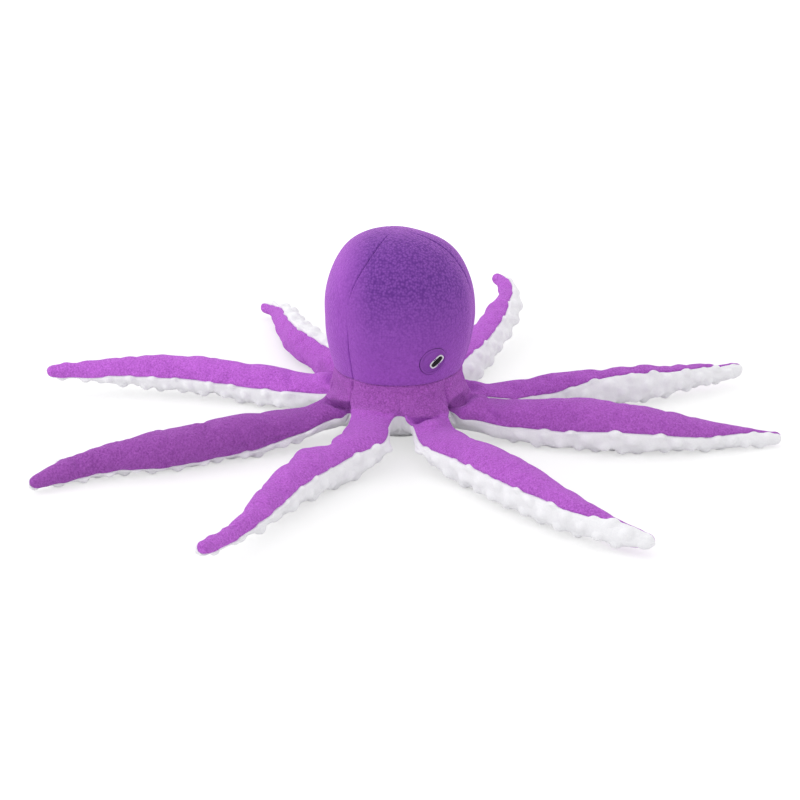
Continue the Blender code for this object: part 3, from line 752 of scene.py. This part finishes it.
def leaving(root, across, out_share, down_share):
    """The way the cloth runs as it leaves an arch on to the arm."""
    out = direction(root)
    side = np.array([-out[1], out[0], 0])
    return unit(out * out_share - side * 0.75 * np.cos(np.pi * across)[..., None] - UP * down_share)


def leaving_top(root, across):
    rise = np.sin(np.pi * across)[:, None]
    return leaving(root, across, 0.55 + 0.25 * rise, 0.35 + 0.30 * rise)


def leaving_under(root, across):
    fall = np.sin(np.pi * across)[:, None]
    return leaving(root, across, 0.55 + 0.45 * fall, 0.35 * (1 - fall))


def hermite(start, start_way, end, end_way, share):
    share = share[:, None, None]
    span = np.linalg.norm(end - start, axis=-1, keepdims=True)[None]
    h = share ** 2 * (3 - 2 * share)
    rise = share * (1 - share) ** 2
    fall = share ** 2 * (share - 1)
    return start * (1 - h) + end * h + span * (start_way * rise + end_way * fall)


def arm_radius(along, full, taper):
    swell = ARM_ROOT_RADIUS + (full - ARM_ROOT_RADIUS) * smooth(along / ARM_FULLEST)
    thinner = np.clip((along - ARM_FULLEST) / (1 - ARM_FULLEST), 0, 1)
    left = np.maximum(np.cos(np.pi / 2 * thinner), 0) ** taper
    return np.where(along < ARM_FULLEST, swell, ARM_TIP_RADIUS + (full - ARM_TIP_RADIUS) * left)


def ease_between(values, along):
    """Values at even steps down the arm, eased from each to the next."""
    step = np.clip(along * (len(values) - 1), 0, len(values) - 1.001)
    first = step.astype(int)
    values = np.asarray(values, float)
    return values[first] + (values[first + 1] - values[first]) * smooth(step - first)


def arm_line(root, heading, bow, sway, hook, tip_lift, radius, along):
    steps = np.linspace(0, 1, 600)
    turn = heading + bow * steps + sway * np.sin(2 * np.pi * steps)
    turn = np.radians(turn + hook * (np.clip(steps - HOOK_FROM, 0, 1) / HOOK_OVER) ** 2)
    ways = direction(turn)
    run = np.cumsum((ways[1:] + ways[:-1]) / 2, axis=0) * ARM_LENGTH / (len(steps) - 1)
    line = direction(math.radians(root)) * ARM_HINGE_RADIUS + np.concatenate([np.zeros((1, 3)), run])
    centre, way = (np.stack([np.interp(along, steps, part) for part in run.T], -1) for run in (line, ways))
    off_floor = 0.0005 + 0.0005 * (1 - smooth(along / ARM_FULLEST))
    centre[:, 2] = radius + off_floor + tip_lift * along ** 2
    return centre, unit(way)


def dots(down, over, turn, shift):
    """Height of the raised dots on cloth laid flat, down and over in metres, in offset rows."""
    x = down * math.cos(turn) - over * math.sin(turn) + shift
    y = down * math.sin(turn) + over * math.cos(turn)
    nearest = np.full(x.shape, np.inf)
    for half in (0, 0.5):
        steps = (x / DOT_PITCH - half, y / DOT_PITCH - half)
        nearest = np.minimum(nearest, np.hypot(*((step - np.round(step)) * DOT_PITCH for step in steps)))
    return DOT_HEIGHT * np.clip(1 - (nearest / DOT_RADIUS) ** 2, 0, 1) ** 1.15


def run_along(grid):
    """Distance from the first row, down each column."""
    steps = np.linalg.norm(np.diff(grid, axis=0), axis=-1)
    return np.concatenate([np.zeros((1, grid.shape[1])), np.cumsum(steps, axis=0)])


# The cloths are first drawn as smooth grids that share their edges, with how far each row may ease
# and how far each point is lifted later: an arm, the skirt above it and the belly below it in turn.
order = sorted(ARMS, key=lambda name: ARMS[name][0])
angle = np.concatenate([
    np.linspace(0, np.pi, TOP_COLUMNS + 1)[:-1],
    np.linspace(np.pi, 2 * np.pi, UNDER_COLUMNS + 1)[:-1],
])
over = angle[:TOP_COLUMNS] / np.pi
below = 2 - angle[TOP_COLUMNS:] / np.pi
along = np.linspace(0, 1, ARM_ROWS)
tip = np.linspace(0, np.pi / 2, TIP_ROWS + 1)[1:]
share = np.concatenate([along, np.ones(TIP_ROWS)])
from_root = (share * ARM_LENGTH)[:, None]
from_tip = (1 - share)[:, None]
grids, eases, lifts = {}, {}, {}
for number, name in enumerate(order):
    root, heading, bow, sway, hook, tip_lift, full, taper, rolls = ARMS[name]
    rooted = math.radians(root)
    seam_top, begin, finish, depth, down_arm = ROOTS[name]
    radius = arm_radius(share, full, taper)
    centre, way = arm_line(root, heading, bow, sway, hook, tip_lift, radius, share)
    radius[ARM_ROWS:] *= np.cos(tip)
    radius[-1] = 0
    centre[ARM_ROWS:] += way[ARM_ROWS:] * ARM_TIP_RADIUS * np.sin(tip)[:, None]
    around = np.maximum(radius, 0.004)[:, None]
    turned = math.radians(8 + 3 * (number % 3))
    shift = DOT_SHIFT * number

    # A dot that falls on the seam pushes the plush edge up over the fleece, and the plush is cut wider
    # near the body.
    psi = angle[None] + 0 * from_root
    wider = PLUSH_WIDER * fade_in(from_root, 0, 0.012) * (1 - fade_in(from_root, 0.02, 0.05))
    for seam, toward in ((np.pi, -1), (2 * np.pi, 1)):
        over_cloth = (seam - 1.5 * np.pi) * around
        push = DOT_OVER_SEAM * dots(from_root, over_cloth, turned, shift) / DOT_HEIGHT
        push = push * fade_in(from_root, 0, 0.03) * fade_in(from_tip, 0, 0.04)
        psi = psi + toward * (push + wider) * np.clip(np.cos(psi - seam), 0, 1) ** 3
    side = np.stack([-way[:, 1], way[:, 0], 0 * way[:, 0]], -1)
    roll = np.radians(ease_between(rolls, share))[:, None]
    top = (UP * np.cos(roll) + side * np.sin(roll))[:, None]
    across = (side * np.cos(roll) - UP * np.sin(roll))[:, None]
    ring = across * np.cos(psi)[..., None] + top * np.sin(psi)[..., None]

    # The arm lies flatter and wider near the body, and the two front arms are webbed together.
    near_root = 1 - fade_in(from_root, 0.02, 0.06)
    sag = np.clip(-ring[..., 2], 0, 1)
    power = 2 + 1.4 * near_root
    flatter = (sag ** power + (1 - sag ** 2) ** (power / 2)) ** (-1 / power)
    skin = centre[:, None] + ring * (flatter * (radius[:, None] + ROOT_PLUMP * near_root))[..., None]
    sideways = np.sum(ring * side[:, None], axis=-1)
    wide = ROOT_WIDTH * (1 - fade_in(from_root, 0.012, 0.045)) * sideways
    if abs(root) < 30:
        inward = np.clip(-sideways * np.sign(root), 0, 1)
        wide = wide - np.sign(root) * FRONT_WEB * inward * (1 - fade_in(from_root, 0.026, 0.030))
    skin = skin + side[:, None] * wide[..., None]
    skin[..., 2] *= 1 - (1 - min(1, seam_top / ROOT_TALLEST)) * near_root

    # The first rows are drawn from the sewn arches out on to the stuffed tube.
    start = np.concatenate([arch_top(rooted, over, seam_top), arch_under(rooted, below)])
    start_way = np.concatenate([leaving_top(rooted, over), leaving_under(rooted, below)])
    first = int(np.searchsorted(along, ROOT_SPAN / ARM_LENGTH))
    end_way = unit(skin[first + 1] - skin[first - 1])
    skin[:first + 1] = hermite(start, start_way, skin[first], end_way, np.linspace(0, 1, first + 1))

    # Dots on the plush, the pulled-in seams, the fold at the root and the creases across the arm.
    half = np.abs((angle % np.pi) - np.pi / 2)[None]
    from_seam = around * (np.pi / 2 - half)
    over_cloth = (psi - 1.5 * np.pi) * around
    on_fleece = 0.55 * bell(from_seam, 0.0016)
    spill = np.where(psi > np.pi, smooth(0.55 + from_seam / 0.003), on_fleece)
    wrapped = np.where(psi < np.pi / 2, over_cloth + 2 * np.pi * around, over_cloth)
    nubs = dots(from_root + 0 * psi, wrapped, turned, shift) * spill
    nubs = nubs * fade_in(from_root, 0.008, 0.02) * smooth((1.03 - share)[:, None] / 0.06)
    dip = -SEAM_PULL * bell(from_seam, SEAM_WIDTH) * fade_in(from_root, 0, 0.02)
    swell = ARM_SWELL * ripples(skin, 0.030, 11 + number)
    swell = swell * (fade_in(from_root, 0, 0.03) * fade_in(from_tip, 0, 0.05))
    turned_by = np.where(angle > 1.5 * np.pi, angle - 2 * np.pi, angle) / np.pi
    drawn = smooth(np.minimum(turned_by - begin + 0.12, finish + 0.12 - turned_by) / 0.24)
    slanted = down_arm * (2 * np.clip(turned_by, 0, 1) - 0.5)
    gone = run_along(skin)
    past = gone - slanted
    beyond = np.maximum(past, 0) / FOLD_ROLL
    fold = drawn * depth * (0.5 * beyond ** 2 * np.exp(1 - beyond ** 2) - bell(past, FOLD_WIDTH))
    for at, middle, spread, deep, skew, width in ARM_FOLDS.get(name, ()):
        off = (share[:, None] - at - skew * (angle[None] - middle)) * ARM_LENGTH
        fold = fold - deep * bell(angle[None] - middle, spread) * bell(off, width)
    grids["arm", name] = skin
    facing = root + HALF_SECTOR * np.cos(np.pi * np.concatenate([over, below]))
    eases["arm", name] = (1 - fade_in(gone, 0.012, 0.03)) * front_hold(facing)
    lifts["arm", name] = nubs + dip + swell + fold

    # The skirt above the arm, from the neck seam down to the arch.
    across = np.linspace(0, 1, TOP_COLUMNS + 1)
    azimuth = rooted + math.radians(HALF_SECTOR) * (1 - 2 * across)
    start = direction(azimuth) * NECK_RADIUS + UP * NECK_HEIGHT
    end = arch_top(rooted, across, seam_top)
    meridian = direction(azimuth) * 0.36 - UP * 0.93
    on = smooth(1.5 * np.sin(np.pi * across)[:, None])
    end_way = meridian * (1 - on) + leaving_top(rooted, across) * on
    skin = hermite(start, 0 * start - UP, end, end_way, np.linspace(0, 1, SKIRT_ROWS))
    gone = run_along(skin)
    left = gone[-1] - gone
    dip = -SEAM_PULL * bell(gone, SEAM_WIDTH)
    seam_side = across if round(root + HALF_SECTOR) % 90 == 45 else 1 - across
    from_seam = NECK_RADIUS * np.radians(2 * HALF_SECTOR) * seam_side
    shown = SKIRT_SEAM_SHOWN.get(name, 0.3)
    dip = dip - shown * SEAM_PULL * bell(from_seam, SEAM_WIDTH) * fade_in(gone, 0, 0.002)
    edge = slice(0, TOP_COLUMNS + 1)
    fold = -drawn[edge] * depth * bell(left + slanted[edge], FOLD_WIDTH)
    grids["skirt", name] = skin
    eases["skirt", name] = fade_in(gone, 0, 0.012)
    lifts["skirt", name] = dip + fold + SKIRT_SWELL * ripples(skin, 0.025, 5) * fade_in(gone, 0, 0.01)

    # The belly below the arm, flat on the floor and then up to the arch.
    across = np.linspace(1, 0, UNDER_COLUMNS + 1)
    azimuth = rooted + math.radians(HALF_SECTOR) * (1 - 2 * across)
    outward = direction(azimuth)
    rest = outward * BELLY_REST_RADIUS
    end = arch_under(rooted, across)
    rise = np.cos(np.pi * across)[:, None] ** 2
    end_way = leaving_under(rooted, across) * (1 - rise) + UP * rise
    flat = rest[None] * np.linspace(0, 1, BELLY_ROWS // 2)[:, None, None]
    wall = hermite(rest, outward, end, end_way, np.linspace(0, 1, BELLY_ROWS))
    skin = np.concatenate([flat, wall[1:]])
    grids["belly", name] = skin
    freely = fade_in(run_along(skin), BELLY_REST_RADIUS, 0.010)
    eases["belly", name] = freely * front_hold(np.degrees(azimuth))
    lifts["belly", name] = 0 * skin[..., 0]

# The shared edges are joined, the joined bag eases like cloth that is pulled tight over stuffing, and
# then the dots, seams and folds are raised on it.
points = np.concatenate([grid.reshape(-1, 3) for grid in grids.values()])
rounded = np.round(points / 2e-6).astype(np.int64)
_, lead, joined = np.unique(rounded, axis=0, return_index=True, return_inverse=True)
joined = joined.reshape(-1)
bag = points[lead]


def gather(grids_of_values):
    """Values on the cloths' own grids as one value for each joined point."""
    values = np.concatenate([grid.reshape(-1) for grid in grids_of_values])
    return np.bincount(joined, values) / np.bincount(joined)


ease = gather(eases.values())
lift = gather(lifts.values())
layout, begin = {}, 0
pairs, corners = [], []
for key, grid in grids.items():
    rows, columns = grid.shape[:2]
    index = joined[begin:begin + rows * columns].reshape(rows, columns)
    begin += rows * columns
    index = close_ring(index) if key[0] == "arm" else index
    layout[key] = index
    pairs.append(np.stack([index[:-1], index[1:]], -1).reshape(-1, 2))
    pairs.append(np.stack([index[:, :-1], index[:, 1:]], -1).reshape(-1, 2))
    corners.append(quads_of(index))
pairs = np.unique(np.sort(np.concatenate(pairs), axis=1), axis=0)
pairs = pairs[pairs[:, 0] != pairs[:, 1]]
corners = np.concatenate(corners)
beside = np.bincount(pairs.reshape(-1), minlength=len(bag))


def mean_beside(values):
    """The mean of each point's neighbours."""
    one, other = pairs.T
    total = np.bincount(one, values[other], len(values)) + np.bincount(other, values[one], len(values))
    return total / beside


for _ in range(EASE_PASSES):
    bag = bag + 0.5 * ease[:, None] * (np.stack([mean_beside(part) for part in bag.T], -1) - bag)

# The body stands a little off the floor where the arms leave it, most of all in front.
from_axis = np.hypot(bag[:, 0], bag[:, 1])
raised = np.interp(np.degrees(np.arctan2(bag[:, 0], -bag[:, 1])), RAISED_AT, RAISED_BY)
raised = raised * fade_in(from_axis, 0.018, 0.018) * (1 - fade_in(from_axis, 0.078, 0.034))
bag[:, 2] += raised * (1 - smooth(bag[:, 2] / RAISED_TOP))


def bag_normals(bag):
    a, b, c, d = (bag[corners[:, k]] for k in range(4))
    faces = np.cross(c - a, d - b).T
    counts = ([np.bincount(corners[:, k], part, len(bag)) for part in faces] for k in range(4))
    return unit(sum(np.stack(count, -1) for count in counts))


def stuff():
    """Stuff a coarse copy of the bag as loose cloth under pressure; give each point's move outward."""
    coarse = {}
    for key, index in layout.items():
        rows, columns = index.shape
        picked = np.unique(np.round(np.linspace(0, rows - 1, rows // ROW_STEP + 1)).astype(int))
        kept = np.arange(0, columns, COLUMN_STEP)
        coarse[key] = (picked, kept, index[picked][:, kept])
    used = np.unique(np.concatenate([index.reshape(-1) for _, _, index in coarse.values()]))
    faces = []
    for key, (picked, kept, index) in coarse.items():
        index = np.searchsorted(used, index)
        coarse[key] = (picked, kept, index)
        faces += [tuple(dict.fromkeys(quad)) for quad in quads_of(index).tolist()]
    start = bag[used]
    loose = add_piece("loose_bag", start.tolist(), [face for face in faces if len(face) > 2])
    held = loose.vertex_groups.new(name="held")
    for number, share in enumerate(np.where(ease[used] < 0.02, 0.25, 0.10).tolist()):
        held.add([number], 1.0 if start[number, 2] > NECK_HEIGHT - 0.001 else share, "REPLACE")
    cloth = loose.modifiers.new("cloth", "CLOTH")
    rules = cloth.settings
    rules.quality = 5
    rules.mass = 0.1
    rules.tension_stiffness = 12
    rules.compression_stiffness = 12
    rules.shear_stiffness = 6
    rules.bending_stiffness = 0.02
    rules.use_pressure = True
    rules.uniform_pressure_force = 4
    rules.shrink_min = -SLACK
    rules.vertex_group_mass = "held"
    rules.pin_stiffness = 0.5
    rules.effector_weights.gravity = 0
    cloth.collision_settings.use_collision = False
    cloth.point_cache.frame_start = 1
    cloth.point_cache.frame_end = STUFFING_FRAMES
    for step in range(1, STUFFING_FRAMES + 1):
        bpy.context.scene.frame_set(step)
    ready = loose.evaluated_get(bpy.context.evaluated_depsgraph_get())
    stuffed = np.empty(len(used) * 3)
    ready.data.vertices.foreach_get("co", stuffed)
    bpy.context.scene.frame_set(1)
    bpy.data.objects.remove(loose)
    move = np.sum((stuffed.reshape(-1, 3) - start) * out[used], axis=-1)
    moves = []
    for key, (picked, kept, index) in coarse.items():
        rows, columns = grids[key].shape[:2]
        values = np.stack([np.interp(np.arange(rows), picked, column) for column in move[index].T], -1)
        moves += [np.interp(np.arange(columns), kept, row) for row in values]
    broad = gather(moves)
    for turn in range(BROAD_PASSES):
        broad = broad + 0.6 * (mean_beside(broad) - broad)
        if turn == FINE_PASSES - 1:
            fine = broad
    return fine - broad


out = bag_normals(bag)
bag = bag + out * np.clip(stuff(), -WRINKLE_CAP, WRINKLE_CAP)[:, None]
out = bag_normals(bag)
bag = slump(bag + out * lift[:, None])
bag[:, 2] = np.maximum(bag[:, 2], LOWEST_CLOTH)
lining = bag - out * CLOTH
lining[:, 2] = np.maximum(lining[:, 2], LOWEST_LINING)


def sew_cloth(name, index, material, ring=False):
    return sew_shell(name, bag[index], lining[index], material, ring)


# Skirt panels. Four pieces of purple fleece that handling has rubbed flat, sewn to each other at the
# front, right, back and left and to the neck seam above.
RUBBED_DARK = (0.250, 0.050, 0.340, 1)
RUBBED_LIGHT = (0.660, 0.190, 0.790, 1)
SKIRT_PANELS = {
    "front": ("front_right", "front_left"), "right": ("right_back", "right_front"),
    "back": ("back_left", "back_right"), "left": ("left_front", "left_back"),
}

rubbed_fleece = fleece("rubbed_fleece", RUBBED_DARK, RUBBED_LIGHT, 860, 0.0012, 0.6)
for side, (ahead, behind) in SKIRT_PANELS.items():
    index = np.concatenate([layout["skirt", ahead], layout["skirt", behind][:, 1:]], axis=1)
    piece = sew_cloth("skirt_fleece_" + side, index, rubbed_fleece)
    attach(piece, "body")
    dress(piece, "purple_fleece", 0.8, "skirt_panel_" + side, "body_stuffing")

# Arms. Each is a sleeve of pilled purple fleece above and white plush with raised dots below, sewn
# along both sides and stuffed. Each arm's fleece is made lighter or darker by its own factor: painted light
# and shade for how the light falls on that arm.
PILLED_DARK = (0.314, 0.063, 0.418, 1)
PILLED_LIGHT = (0.684, 0.192, 0.846, 1)
PLUSH_WHITE = (0.92, 0.915, 0.94, 1)
PLUSH_SHADE = (0.86, 0.855, 0.89, 1)
# Painted light and shade: one factor per arm on its fleece colours, above 1 for arms that face the light and
# below 1 for arms that lie more in shade.
ARM_PAINTED_LIGHT_AND_SHADE = {
    "back_left": 1.06, "left_back": 1.12, "left_front": 0.71, "front_left": 1.02,
    "front_right": 1.0, "right_front": 0.86, "right_back": 0.95, "back_right": 1.08,
}

dotted_plush, shader, place = new_material("dotted_plush")
pile = stretch(add_noise(place, 1300, 4.0, 0.6))
soft = add_bump(pile, 0.0003, 0.5)
set_inputs(
    shader, Roughness=0.95, Specular_IOR_Level=0.1, Sheen_Weight=0.2, Sheen_Roughness=0.5,
    Subsurface_Weight=0.2, Subsurface_Radius=(0.004, 0.004, 0.004),
    Base_Color=mix_colours(pile, PLUSH_SHADE, PLUSH_WHITE),
    Normal=add_bump(add_noise(place, 300, 2.0), 0.0006, 0.35, Normal=soft),
)
for name in order:
    # The arm's fleece colours are scaled by its factor of painted light and shade.
    dark, light = ((*(part * ARM_PAINTED_LIGHT_AND_SHADE[name] for part in tone[:3]), 1) for tone in (PILLED_DARK, PILLED_LIGHT))
    pilled_fleece = fleece("pilled_fleece_" + name, dark, light, 820, 0.0008, 0.6)
    sleeve = layout["arm", name]
    for piece_name, index, material, slot, nodes in (
        ("arm_fleece_", sleeve[:, :TOP_COLUMNS + 1], pilled_fleece, "purple_fleece", ("_top", "_stuffing")),
        ("arm_plush_", sleeve[:, TOP_COLUMNS:], dotted_plush, "white_dot_plush", ("_underside",)),
    ):
        piece = sew_cloth(piece_name + name, index, material)
        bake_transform(piece)
        dress(piece, slot, 0.7, *["arm_" + name + node for node in nodes])

# Belly. One round of the same white plush, which closes the bag below. It is sewn to the eight arm
# undersides and carries the toy on the floor.
index = np.concatenate([layout["belly", name][:, :-1] for name in order], axis=1)
piece = sew_cloth("belly_plush", index, dotted_plush, ring=True)
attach(piece, "body")
dress(piece, "white_dot_plush", 0.7, "belly")

# Floor, light and viewpoint. A white sweep that reads as plain white paper, with soft even light from
# all round, a broad softbox overhead and a second one at the left, and a long lens a little above the toy.
FLOOR_HALF = 4
FLOOR_LEVEL = -0.0004
FLOOR_WHITE = (0.85, 0.85, 0.85, 1)
FLOOR_SHADED = (0.48, 0.48, 0.48, 1)
FLOOR_GLOW = 0.56
FAR_GLOW = 1.0
GLOW_RADII = (0.22, 0.75)
WORLD_ON_TOY = 0.95
WORLD_SEEN = 1.0
WHITE = (1, 1, 1, 1)


def seen_rays(tree):
    """1 for a ray from the camera or off a gloss or through glass, which should all see plain white."""
    rays = tree.nodes.new("ShaderNodeLightPath").outputs
    first = math_node(tree, "MAXIMUM", rays["Is Camera Ray"], rays["Is Glossy Ray"])
    return math_node(tree, "MAXIMUM", first, rays["Is Transmission Ray"])


corners = [(x * FLOOR_HALF, y * FLOOR_HALF, FLOOR_LEVEL) for x, y in ((-1, -1), (1, -1), (1, 1), (-1, 1))]
floor = add_piece("floor", corners, [(0, 1, 2, 3)])
paper, shader, place = new_material("floor_paper")
tree = paper.node_tree
away = tree.nodes.new("ShaderNodeVectorMath")
away.operation = "LENGTH"
feed(away.inputs[0], place)
glow = stretch(away.outputs["Value"], *GLOW_RADII, To_Min=FLOOR_GLOW, To_Max=FAR_GLOW)
seen = seen_rays(tree)
set_inputs(
    shader, Roughness=0.9, Specular_IOR_Level=0.0, Emission_Color=WHITE,
    Base_Color=mix_colours(seen, FLOOR_WHITE, FLOOR_SHADED),
    Emission_Strength=math_node(tree, "MULTIPLY", seen, glow),
)
floor.data.materials.append(paper)

world = bpy.data.worlds.new("studio")
bpy.context.scene.world = world
world.use_nodes = True
tree = world.node_tree
light = stretch(seen_rays(tree), 0.0, 1.0, To_Min=WORLD_ON_TOY, To_Max=WORLD_SEEN)
set_inputs(tree.nodes["Background"], Color=WHITE, Strength=light)


def softbox(name, place, aim, size, power):
    lamp = bpy.data.lights.new(name, "AREA")
    lamp.shape = "DISK"
    lamp.size = size
    lamp.energy = power
    box = add_object(name, lamp)
    box.location = place
    box.rotation_euler = (Vector(aim) - Vector(place)).to_track_quat("-Z", "Y").to_euler()


softbox("overhead", (-0.8, 0.45, 1.65), (0, 0, 0), 1.6, 5)
softbox("left_fill", (-1.6, -0.6, 0.8), (0, 0, 0.05), 1.0, 5)

lens = bpy.data.cameras.new("photo_view")
lens.sensor_width = 36
lens.lens = 87.75
camera = add_object("photo_view", lens)
camera.location = (0, -1.20768, 0.48144)
camera.rotation_euler = (math.radians(69), 0, 0)
bpy.context.scene.camera = camera
bpy.context.scene.view_settings.view_transform = "Standard"
